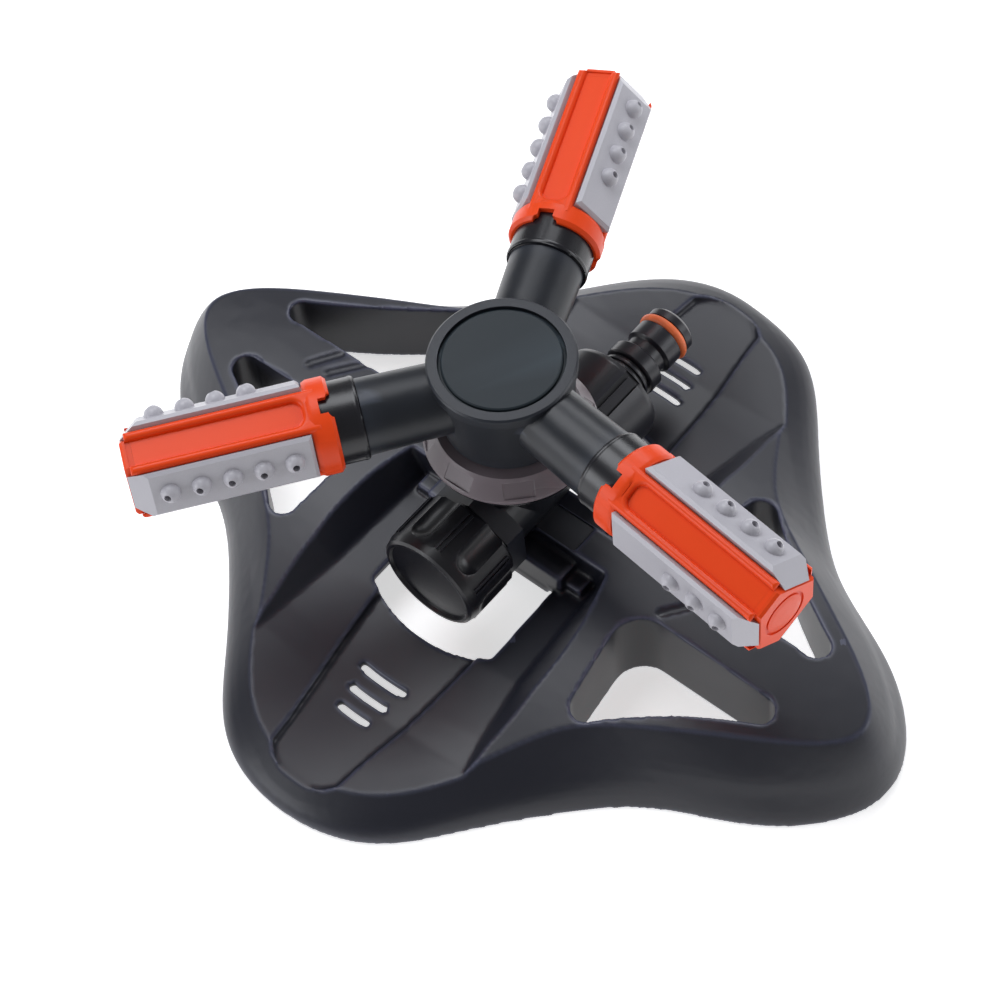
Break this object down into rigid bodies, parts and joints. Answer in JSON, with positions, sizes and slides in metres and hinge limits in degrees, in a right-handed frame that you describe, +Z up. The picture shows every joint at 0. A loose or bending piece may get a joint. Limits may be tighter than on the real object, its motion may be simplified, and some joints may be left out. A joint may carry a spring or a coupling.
{
  "type": "rotary lawn sprinkler",
  "caption": "Low four-lobed base carrying a water pipe and a free-spinning hub with radial arms, each ending in a turnable six-sided spray head.",
  "frame": {"origin": "on the floor, under the axis the rotor spins about", "axes": "+Z up along the rotor axis; +X along the water pipe towards the hose nipple; +Y towards one plateau lobe"},
  "size_m": [0.2104, 0.2532, 0.0957],
  "materials": {
    "charcoal": "satin moulded",
    "pipe_charcoal": "satin moulded",
    "adapter_charcoal": "satin moulded",
    "cap_charcoal": "satin moulded",
    "dark_bearing": "gloss moulded",
    "ring_grey": "satin moulded",
    "hub_charcoal": "satin moulded",
    "hub_disc": "fine grained",
    "collar_black": "gloss moulded",
    "orange_plastic": "satin moulded",
    "nozzle_grey": "satin moulded",
    "orange_rubber": "matte",
    "black_rubber": "matte",
    "white_plastic": "satin moulded",
    "filter_mesh": "woven look",
    "brass": "machined",
    "steel": "plain"
  },
  "bodies": {
    "base": {"base_shell": "charcoal", "manifold": "pipe_charcoal", "mounting_screws": "steel", "bearing_cup": "dark_bearing", "retaining_ring": "ring_grey", "inlet_adapter": "adapter_charcoal", "inlet_o_ring": "orange_rubber", "inlet_washer": "black_rubber", "inlet_filter": "filter_mesh", "spindle_seal": "black_rubber", "lower_thrust_washer": "white_plastic", "upper_thrust_washer": "white_plastic", "spindle_bush": "white_plastic"},
    "cap_carriage": {"end_cap_washer": "black_rubber"},
    "closing_cap": {"end_cap": "cap_charcoal"},
    "rotor": {"spindle": "brass", "hub_body": "hub_charcoal", "hub_cap": "hub_disc", "hub_cap_gasket": "black_rubber", "head_collar_1": "collar_black", "head_o_ring_1": "black_rubber", "head_clip_1": "steel", "head_collar_2": "collar_black", "head_o_ring_2": "black_rubber", "head_clip_2": "steel", "head_collar_3": "collar_black", "head_o_ring_3": "black_rubber", "head_clip_3": "steel"},
    "head_1": {"head_body_1": "orange_plastic", "nozzle_bar_five_1": "nozzle_grey", "nozzle_bar_four_1": "nozzle_grey", "nozzle_bar_three_1": "nozzle_grey", "head_end_1": "orange_plastic"},
    "head_2": {"head_body_2": "orange_plastic", "nozzle_bar_five_2": "nozzle_grey", "nozzle_bar_four_2": "nozzle_grey", "nozzle_bar_three_2": "nozzle_grey", "head_end_2": "orange_plastic"},
    "head_3": {"head_body_3": "orange_plastic", "nozzle_bar_five_3": "nozzle_grey", "nozzle_bar_four_3": "nozzle_grey", "nozzle_bar_three_3": "nozzle_grey", "head_end_3": "orange_plastic"}
  },
  "joints": [
    {"name": "rotor_spin", "type": "hinge", "parent": "base", "child": "rotor", "pos_m": [0, 0, 0.0575], "axis": [0, 0, 1], "continuous": true},
    {"name": "head_turn_1", "type": "hinge", "parent": "rotor", "child": "head_1", "pos_m": [0.05055, 0.02167, 0.0816], "axis": [0.9191, 0.3939, 0], "continuous": true},
    {"name": "head_turn_2", "type": "hinge", "parent": "rotor", "child": "head_2", "pos_m": [-0.04404, 0.03295, 0.0816], "axis": [-0.8007, 0.599, 0], "continuous": true},
    {"name": "head_turn_3", "type": "hinge", "parent": "rotor", "child": "head_3", "pos_m": [-0.00651, -0.05461, 0.0816], "axis": [-0.1184, -0.993, 0], "continuous": true},
    {"name": "cap_advance", "type": "slide", "parent": "base", "child": "cap_carriage", "axis": [-1, 0, 0], "range_m": [0, 0.00725]},
    {"name": "cap_turn", "type": "hinge", "parent": "cap_carriage", "child": "closing_cap", "pos_m": [-0.03, 0, 0.0315], "axis": [-1, 0, 0], "range_deg": [0, 1440]}
  ],
  "couplings": [
    {"joint": "cap_turn", "follows": "cap_advance", "rad_per_m": 3463.7}
  ]
}
